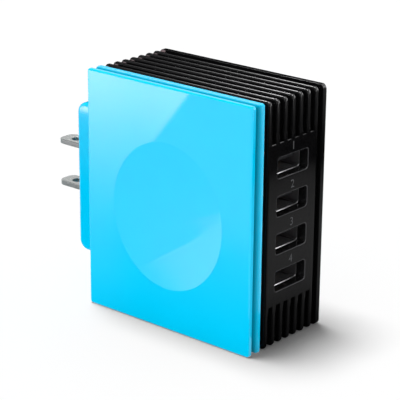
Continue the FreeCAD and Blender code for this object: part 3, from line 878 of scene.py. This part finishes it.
def number_mesh(label):
    """One printed number as a flat mesh about the origin."""
    curve = bpy.data.curves.new("number", "FONT")
    curve.body = label
    curve.size = NUMBER_HEIGHT * SIZE_FOR_HEIGHT
    curve.align_x = "CENTER"
    curve.extrude = NUMBER_RAISE
    holder = bpy.data.objects.new("number", curve)
    bpy.context.scene.collection.objects.link(holder)
    mesh = final_mesh(holder)
    bpy.data.objects.remove(holder)
    return mesh


def make_numbers():
    """The numbers of all sockets as one piece on the field."""
    parts = []
    for index, port_z in enumerate(port_heights):
        flat = number_mesh(str(index + 1))
        foot = Vector((half_width + FIELD_PROUD, 0, port_z + WINDOW_HEIGHT / 2 + NUMBER_GAP))
        flat.transform(Matrix.Translation(foot) @ ON_SOCKET_SIDE)
        parts.append(cleaned(mesh_skin(flat)))
        bpy.data.meshes.remove(flat)
    return make_piece("socket_numbers", parts, number_print)


numbers = make_numbers()
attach(numbers, "root")
print(numbers.name, "faces:", len(numbers.data.polygons))

# %% [markdown]
# What is left keeps its own solid and only needs a finish: the black tongues and gilt contacts that
# can be seen in the sockets, and everything on the circuit board inside. The solids carry the name
# of their slot, so one table of finishes dresses them all.

# %% Finishes of the inner parts
INNER_FINISHES = {
    "black_insulator": ("insulator_finish", (40, 40, 42), 0.45, 0.2,
                        {"tone": 0.2, "depth": 0.003 * MM, "specular": 0.3}),
    "gold_contact": ("gilt_finish", (214, 170, 92), 0.22, 0.2, {"metal": 1.0}),
    "board_laminate": ("laminate_finish", (26, 92, 58), 0.4, 0.6, {"tone": 0.18, "depth": 0.004 * MM}),
    "ferrite": ("ferrite_finish", (58, 57, 60), 0.6, 0.15, {"tone": 0.2, "depth": 0.008 * MM}),
    "winding_tape": ("tape_finish", (214, 176, 62), 0.35, 1.2,
                     {"tone": 0.1, "depth": 0.01 * MM, "stretch": (3, 0.2, 0.2)}),
    "copper_wire": ("copper_finish", (196, 112, 62), 0.28, 0.3,
                    {"metal": 1.0, "depth": 0.02 * MM, "stretch": (0.1, 2.5, 0.1)}),
    "can_aluminium": ("sleeve_finish", (42, 54, 84), 0.35, 0.8, {"tone": 0.12}),
    "sink_aluminium": ("sink_finish", (190, 191, 194), 0.38, 0.2,
                       {"metal": 1.0, "depth": 0.002 * MM, "stretch": (0.05, 1, 1)}),
    "chip_moulding": ("chip_finish", (34, 34, 36), 0.55, 0.12, {"tone": 0.2, "depth": 0.004 * MM}),
    "disc_coating": ("disc_finish", (46, 92, 158), 0.3, 0.9, {"tone": 0.1, "depth": 0.006 * MM}),
    "barrier_sheet": ("barrier_finish", (226, 222, 206), 0.5, 0.4, {"tone": 0.06}),
}

inner_finishes = {}
for slot, (name, colour, roughness, grain, more) in INNER_FINISHES.items():
    inner_finishes[slot] = grained_finish(name, linear(*colour), roughness, grain * MM, **more)
dressed = 0
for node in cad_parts.values():
    for material_slot in node.material_slots:
        if material_slot.material and material_slot.material.name in inner_finishes:
            material_slot.material = inner_finishes[material_slot.material.name]
            dressed += 1
print("inner solids dressed:", dressed)

# %% [markdown]
# The stage is a white sheet under soft light. A white sheet could be lit until it burns out, but
# then the blue would burn out too. Here the lamps stay at a plain level and the sheet adds the
# little that is missing, for the eye and for mirror reflections alone, so that the shadow stays.

# %% White sheet and surround
FLOOR_HALF = 3.0
FLOOR_DROP = 0.05 * MM
FLOOR_COLOUR = (0.9, 0.9, 0.9, 1)
FLOOR_ROUGHNESS = 0.8
FLOOR_LIFT = 0.02
SKY_LIGHT = 0.2


def seen_directly(tree):
    """A node output that is 1 for camera, mirror and see-through rays, and 0 for scattered light."""
    path = add_node(tree, "ShaderNodeLightPath").outputs
    seen = wire(tree, "MAXIMUM", path["Is Camera Ray"], path["Is Glossy Ray"])
    return wire(tree, "MAXIMUM", seen, path["Is Transmission Ray"])


def make_world():
    """A white surround that lights the object more gently than it looks."""
    world = bpy.data.worlds.new("studio")
    world.use_nodes = True
    tree = world.node_tree
    level = map_range(tree, seen_directly(tree), (0, 1), (SKY_LIGHT, 1))
    set_inputs(tree, tree.nodes["Background"], {"Color": WHITE, "Strength": level})
    bpy.context.scene.world = world


def make_floor():
    """A wide white sheet that the charger stands on."""
    sheet, tree, shader = new_material("white_sheet")
    lift = wire(tree, "MULTIPLY", seen_directly(tree), FLOOR_LIFT)
    set_inputs(tree, shader, {"Base Color": FLOOR_COLOUR, "Roughness": FLOOR_ROUGHNESS,
                              "Specular IOR Level": 0, "Emission Color": WHITE, "Emission Strength": lift})
    work = bmesh.new()
    corners = ((-1, -1), (1, -1), (1, 1), (-1, 1))
    z = housing_low.z - FLOOR_DROP
    work.faces.new([work.verts.new((x * FLOOR_HALF, y * FLOOR_HALF, z)) for x, y in corners])
    floor = make_piece("floor", [work], sheet)
    floor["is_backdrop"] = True


make_world()
make_floor()
bpy.context.scene.view_settings.view_transform = "Standard"
print("sheet at z in mm:", round((housing_low.z - FLOOR_DROP) / MM, 2))

# %% [markdown]
# Three broad lamps do the lighting. The key stands high on the left, so the shadow is short and
# falls to the right. One lamp in front lights the face and one at the side lights the sockets, and
# both leave the sheet out, because a second shadow would give them away. Light linking does that: it
# lists what a lamp may light, or what it has to leave out. The lamps stay out of mirror reflections,
# which belong to the cards further down. The plug throws no shadow and the blue plates no tint on
# the sheet, which keeps it as clean as the wide lamps of a studio do.

# %% Lamps
LAMPS = {
    "key": (2.9, math.radians(22), Vector((-0.20, -0.03, 0.98))),
    "front": (1.55, math.radians(25), Vector((0.05, -0.95, 0.30))),
    "side": (1.0, math.radians(25), Vector((0.93, 0.25, 0.28))),
}
BLUE_PLATES = ["blue_face_panel", "blue_front_cover"]
BLADES = ["nickel_blade_upper", "nickel_blade_lower"]
PLUG = ["blue_plug_block"] + BLADES
SHELLS = ["socket_shell_%d" % (port + 1) for port in range(PORTS)]


def make_lamp(name, strength, size, direction):
    """A distant lamp in a direction, with a size as an angle, which reflections can't see."""
    lamp = bpy.data.lights.new(name, "SUN")
    lamp.energy = strength
    lamp.angle = size
    holder = bpy.data.objects.new(name, lamp)
    holder.rotation_mode = "QUATERNION"
    holder.rotation_quaternion = direction.to_track_quat("Z", "Y")
    holder.visible_glossy = False
    bpy.context.scene.collection.objects.link(holder)
    return holder


def light_only(holder, state, names):
    """Link a lamp or a card to some things, which its light either includes or leaves out."""
    listed = bpy.data.collections.new(holder.name + "_links")
    for name in names:
        listed.objects.link(bpy.data.objects[name])
    for entry in listed.collection_objects:
        entry.light_linking.link_state = state
    holder.light_linking.receiver_collection = listed


for name, values in LAMPS.items():
    lamp_holder = make_lamp(name, *values)
    if name != "key":
        light_only(lamp_holder, "EXCLUDE", ["floor"])
for name in BLUE_PLATES:
    bpy.data.objects[name].visible_diffuse = False
for name in PLUG:
    bpy.data.objects[name].visible_shadow = False

# %% [markdown]
# Glossy plastic shows what stands around it more than it shows its own colour. A photographer
# therefore sets up cards that only the reflections can see. A card gets its pattern in millimetres,
# through a UV map, so the numbers in the node tree are places on the card. A smooth curve through
# pairs of place and level is enough for most patterns.

# %% Cards that only reflections see
def ramp(tree, value, points):
    """A smooth run through pairs of place and level."""
    first, last = points[0][0], points[-1][0]
    share = wire(tree, "DIVIDE", wire(tree, "SUBTRACT", value, first), last - first)
    curve = add_node(tree, "ShaderNodeFloatCurve", {"Value": share})
    top = max(level for _, level in points)
    line = curve.mapping.curves[0]
    spots = [((place - first) / (last - first), level / top) for place, level in points]
    line.points[0].location = spots[0]
    line.points[1].location = spots[-1]
    for spot in spots[1:-1]:
        line.points.new(*spot)
    for point in line.points:
        point.handle_type = "AUTO_CLAMPED"
    curve.mapping.update()
    return wire(tree, "MULTIPLY", curve.outputs["Value"], top)


def step_up(tree, value, start, end):
    """A smooth step from 0 to 1 between two places."""
    return map_range(tree, value, (start, end), smooth=True)


def blend_between(tree, share, first, second):
    """The first value where the share is 0 and the second where it is 1."""
    rise = wire(tree, "MULTIPLY", share, wire(tree, "SUBTRACT", second, first))
    return wire(tree, "ADD", first, rise)


def levels_along(axis, points):
    """A pattern that changes along one axis of a card, 0 for its columns and 1 for its rows."""
    return lambda tree, *place: ramp(tree, place[axis], points)


def card_finish(name, pattern, colour, clear):
    """A glowing finish whose strength is a pattern over the card, and which may be seen through."""
    material, tree, shader = new_material(name)
    tree.nodes.remove(shader)
    place = add_node(tree, "ShaderNodeUVMap", uv_map="card").outputs["UV"]
    split = add_node(tree, "ShaderNodeSeparateXYZ", {"Vector": place}).outputs
    strength = pattern(tree, split["X"], split["Y"])
    sheet = add_node(tree, "ShaderNodeEmission", {"Color": colour, "Strength": strength}).outputs[0]
    if clear:
        beyond = add_node(tree, "ShaderNodeBsdfTransparent").outputs[0]
        sheet = add_node(tree, "ShaderNodeAddShader", {0: sheet, 1: beyond}).outputs[0]
    set_inputs(tree, tree.nodes["Material Output"], {"Surface": sheet})
    return material


def even_places(first, last, steps):
    """Even places from the first to the last."""
    return [first + (last - first) * step / steps for step in range(steps + 1)]


def make_card(name, across, along, place, pattern, linked=None, colour=WHITE, clear=False, steps=(2, 2)):
    """A card over a grid of places in millimetres, which only reflections see, linked to some pieces."""
    columns = even_places(*across, steps[0])
    rows = even_places(*along, steps[1])
    work = bmesh.new()
    layer = work.loops.layers.uv.new("card")
    grid = {(u, v): work.verts.new(place(u, v)) for u in columns for v in rows}
    spots = {point: key for key, point in grid.items()}
    for left, right in zip(columns, columns[1:]):
        for low, high in zip(rows, rows[1:]):
            corners = ((left, low), (right, low), (right, high), (left, high))
            for loop in work.faces.new([grid[corner] for corner in corners]).loops:
                loop[layer].uv = spots[loop.vert]
    card = make_piece(name, [work], card_finish(name + "_glow", pattern, colour, clear))
    for ray in ("camera", "diffuse", "transmission", "volume_scatter", "shadow"):
        setattr(card, "visible_" + ray, False)
    card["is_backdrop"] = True
    if linked:
        light_only(card, *linked)
    print(card.name, "faces:", len(card.data.polygons))


print("a row of places in mm:", even_places(-60, 60, 4))

# %% [markdown]
# The first card lies in front of the face. Each of its points is worked out from the point of the
# face that mirrors it to the camera, so its pattern can be given in places on the face: a bright
# pane with a slanting edge at the upper left, a dim glow beside it, and a stripe for the plug block
# further left. The dish enlarges a small spot of the card, and that spot holds the crescent.

# %% Light card for the face
CARD_HEIGHT = 0.2 * MM
CARD_STEPS = 24
PANE_COLOUR = (1, 0.76, 0.8, 1)
PANE_SLOPE = -0.793
PANE_SHIFT = 46.6
PANE_BLUR = 0.5
PANE_LEFT = (-9.0, -27.0)
PANE_LEVELS = ((0, 0.03), (8, 0.22), (31, 1.2), (49, 3.3), (66, 7.0), (78, 9.0))
PANE_FADE = ((-60, 1.02), (-26, 1.0), (-6, 0.84), (60, 0.84))
GLOW_LEVELS = ((0, 0.0), (6, 0.02), (24, 0.36), (43, 1.2), (78, 1.2))
PLUG_LEVELS = ((0, 0.0), (28, 0.0), (40, 0.3), (50, 0.8), (52.2, 1.5), (53.4, 8.0), (55.5, 10.0),
               (78, 3.0))
PLUG_END = (-33.5, -31.0)
DISH_SPOT = (16.5, 15.5)
DISH_LEVELS = ((-8, 0.85), (-3, 0.95), (1, 1.1), (8, 1.1))
UPPER_SLOPE, UPPER_SHIFT = 0.9, -28.8
LOWER_SLOPE, LOWER_SHIFT = -0.942, 23.6
CRESCENT_ROUNDING = 4.4
CRESCENT_BLUR = 0.12
CRESCENT_TOP = (31.25, 31.05)
FADE_SLOPE, FADE_SHIFT = 0.6, -14.4
CRESCENT_FADE = (-4.0, 4.5)
CRESCENT_LEVEL = 1.25


def mirrored_by_face(x, z):
    """The place on the card that the camera sees mirrored in a spot of the face, in millimetres."""
    spot = Vector((x * MM, panel_low.y, z * MM))
    behind = Vector((CAMERA_PLACE.x, 2 * panel_low.y - CAMERA_PLACE.y, CAMERA_PLACE.z))
    reach = (behind.z - CARD_HEIGHT) / (behind.z - spot.z)
    return behind + (spot - behind) * reach


def leaning(tree, x, z, slope, shift):
    """A value that grows with x and, by a slope, with z."""
    return wire(tree, "ADD", wire(tree, "MULTIPLY_ADD", z, slope, x), shift)


def dish_distance(tree, x, z):
    """How far a place is from the middle of the dish."""
    above = wire(tree, "SUBTRACT", z, dish_z / MM)
    squares = wire(tree, "ADD", wire(tree, "MULTIPLY", x, x), wire(tree, "MULTIPLY", above, above))
    return wire(tree, "SQRT", squares)


def dish_pattern(tree, x, z):
    """The small part of the card that the dish enlarges: an even glow with a brighter crescent."""
    upper = leaning(tree, x, z, UPPER_SLOPE, UPPER_SHIFT)
    lower = leaning(tree, x, z, LOWER_SLOPE, LOWER_SHIFT)
    bend = wire(tree, "SMOOTH_MAX", upper, lower, CRESCENT_ROUNDING)
    outside = step_up(tree, bend, -CRESCENT_BLUR, CRESCENT_BLUR)
    inside = wire(tree, "MULTIPLY", outside, step_up(tree, z, *CRESCENT_TOP))
    fade = step_up(tree, leaning(tree, x, z, FADE_SLOPE, FADE_SHIFT), *CRESCENT_FADE)
    crescent = wire(tree, "MULTIPLY", wire(tree, "MULTIPLY", inside, fade), CRESCENT_LEVEL)
    return wire(tree, "ADD", ramp(tree, x, DISH_LEVELS), crescent)


def face_pattern(tree, x, z):
    """The bright pane with a dim glow beside it, the plug's stripe and the dish's own spot."""
    slant = step_up(tree, leaning(tree, x, z, PANE_SLOPE, PANE_SHIFT), PANE_BLUR, -PANE_BLUR)
    in_pane = wire(tree, "MAXIMUM", slant, step_up(tree, x, *PANE_LEFT))
    pane = wire(tree, "MULTIPLY", ramp(tree, z, PANE_LEVELS), ramp(tree, x, PANE_FADE))
    panel = blend_between(tree, in_pane, ramp(tree, z, GLOW_LEVELS), pane)
    flat = blend_between(tree, step_up(tree, x, *PLUG_END), ramp(tree, z, PLUG_LEVELS), panel)
    in_dish = step_up(tree, dish_distance(tree, x, z), *DISH_SPOT)
    return blend_between(tree, in_dish, flat, dish_pattern(tree, x, z))


make_card("face_card", (-60, 60), (0.2, 78), mirrored_by_face, face_pattern, colour=PANE_COLOUR,
          steps=(CARD_STEPS, CARD_STEPS))

# %% [markdown]
# Black plastic needs the opposite: dark surroundings, so that it stays black, and a few bright
# stripes for the light lines on its edges. The card beside the sockets is upright and dim, and its
# levels go by the height on the socket side that mirrors them. The card over the ribs has one bright
# stripe, and the card at the back lights the tops of the blue plates and the blades.

# %% Places and levels of the other cards
SIDE_CARD_DISTANCE = 18.0
CLEAR_CARD_DISTANCE = 16.0
BACK_CARD_DISTANCE = 120.0
TOP_CARD_HEIGHT = 170.0
COVER_CARD_HEIGHT = 140.0
SIDE_LEVELS = ((0, 0.05), (10, 0.2), (14, 0.3), (22, 0.37), (32, 0.4), (41, 0.3), (46, 0.24), (48.5, 0.1),
               (50.5, 0.0), (57, 0.0), (60, 0.08), (68, 0.28), (73, 0.35), (75.5, 6.0), (80.5, 6.0),
               (83, 2.0), (130, 2.0))
SIDE_DROP = 6.3
SIDE_SLANT = -0.41
SLANT_END = 4.0
LEDGE_LIFT = 5.0
LEDGE_SPAN = (8.5, 11.5)
RIBS_DIM = 0.15
RIBS_LEVELS = ((-220, 0.0), (-130, 0.5), (-110, 2.2), (-90, 6.5), (-76, 15.0), (-56, 36.0), (-36, 54.0),
               (-26, 4.0), (0, 0.5), (14, 6.0), (28, 46.0), (100, 46.0))
STRIPE_FRONT = (-20, -8)
STRIPE_BACK = (20, 10)
BACK_LEVELS = ((0, 0.9), (200, 0.9))
SCREEN_LEVELS = ((-300, 0.95), (300, 0.95))
FOOT_LEVELS = ((29, 0.05), (36, 0.1), (44, 0.22), (52, 0.3))
LIP_LEVELS = ((-40, 2.2), (-12, 2.2), (-7, 3.0), (-4.5, 18.0), (0.2, 17.0), (1.7, 3.0), (4.5, 0.5),
              (20, 0.3))
COVER_LEVELS = ((-70, 0.0), (-46, 0.0), (-30, 0.5), (-7, 2.5), (37, 5.0), (80, 3.0), (142, 1.0),
                (200, 0.0))
view_across = Vector((math.cos(CAMERA_AZIMUTH), math.sin(CAMERA_AZIMUTH), 0))
view_along = Vector((-math.sin(CAMERA_AZIMUTH), math.cos(CAMERA_AZIMUTH), 0))


def upright_at(gap):
    """A function that gives the places on an upright card, which the socket side mirrors, at a distance."""
    foot = Vector((half_width, 0, 0)) + Vector((-view_along.x, view_along.y, 0)) * gap * MM
    side = Vector((-view_across.x, view_across.y, 0))
    return lambda across, rise: foot + side * across * MM + Vector((0, 0, rise * MM))


def behind_top(across, rise):
    """A place on the upright card that the tops of the ribs mirror."""
    return view_along * BACK_CARD_DISTANCE * MM + view_across * across * MM + Vector((0, 0, rise * MM))


def level_at(z):
    """A function that gives the places on a level card at one height."""
    return lambda x, y: Vector((x * MM, y * MM, z))


def side_pattern(tree, across, rise):
    """Dim levels by the height on the socket side that mirrors them, dark at the upper end of the field."""
    slanting = wire(tree, "MULTIPLY", wire(tree, "MINIMUM", across, SLANT_END), SIDE_SLANT)
    lifted = wire(tree, "MULTIPLY", step_up(tree, across, *LEDGE_SPAN), LEDGE_LIFT)
    height_seen = wire(tree, "ADD", wire(tree, "ADD", rise, lifted), slanting)
    return ramp(tree, wire(tree, "ADD", height_seen, SIDE_DROP), SIDE_LEVELS)


def ribs_pattern(tree, x, y):
    """Bright towards the socket side, dark towards the other, with one more patch for the rib corners."""
    stripe = wire(tree, "MULTIPLY", step_up(tree, y, *STRIPE_FRONT), step_up(tree, y, *STRIPE_BACK))
    glow = wire(tree, "MULTIPLY", ramp(tree, x, RIBS_LEVELS), stripe)
    return wire(tree, "ADD", glow, RIBS_DIM)


print("levels by the side:", len(SIDE_LEVELS), "and over the ribs:", len(RIBS_LEVELS))

# %% [markdown]
# A card that is linked to some pieces is black to all the others, so the two screens look white to
# the blue plates and black to the ribs. A clear card also shows what stands behind it, which suits a
# light that is meant for a single edge.

# %% Light cards for the ribs and sockets
beside_sockets = upright_at(SIDE_CARD_DISTANCE)
before_sockets = upright_at(CLEAR_CARD_DISTANCE)
over_ribs = level_at(TOP_CARD_HEIGHT * MM)
over_cover = level_at(COVER_CARD_HEIGHT * MM)
on_sheet = level_at(housing_low.z - FLOOR_DROP / 2)
under_ribs = level_at(housing_low.z - FLOOR_DROP / 4)
screen = levels_along(1, SCREEN_LEVELS)
make_card("side_card", (-36, 24), (0.5, 110), beside_sockets, side_pattern)
make_card("foot_card", (29, 52), (-6, 45), under_ribs, levels_along(0, FOOT_LEVELS))
make_card("ribs_card", (-220, 100), (-160, 110), over_ribs, ribs_pattern, ("EXCLUDE", BLUE_PLATES),
          steps=(8, 2))
make_card("back_card", (-130, 130), (2, 200), behind_top, levels_along(1, BACK_LEVELS),
          ("INCLUDE", BLUE_PLATES + BLADES))
make_card("screen_card", (-120, -36), (0.5, 110), beside_sockets, screen, ("INCLUDE", BLUE_PLATES))
make_card("sheet_card", (-60, 300), (-300, 60), on_sheet, screen, ("INCLUDE", BLUE_PLATES + PLUG))
make_card("lip_card", (-40, 16), (0.5, 70), before_sockets, levels_along(0, LIP_LEVELS),
          ("INCLUDE", SHELLS + ["blue_front_cover"]), clear=True)
make_card("cover_card", (-240, 60), (-70, 200), over_cover, levels_along(1, COVER_LEVELS),
          ("INCLUDE", ["blue_front_cover"]), clear=True)

# %% [markdown]
# The last step measures the box of the dressed part and prints how far it reaches beyond the box of
# the solids, in millimetres.

# %% Sizes and finish
dressed_low, dressed_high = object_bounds()
growth = (*(cad_low - dressed_low), *(dressed_high - cad_high))
print("grown by mm:", [round(value / MM, 3) for value in growth])
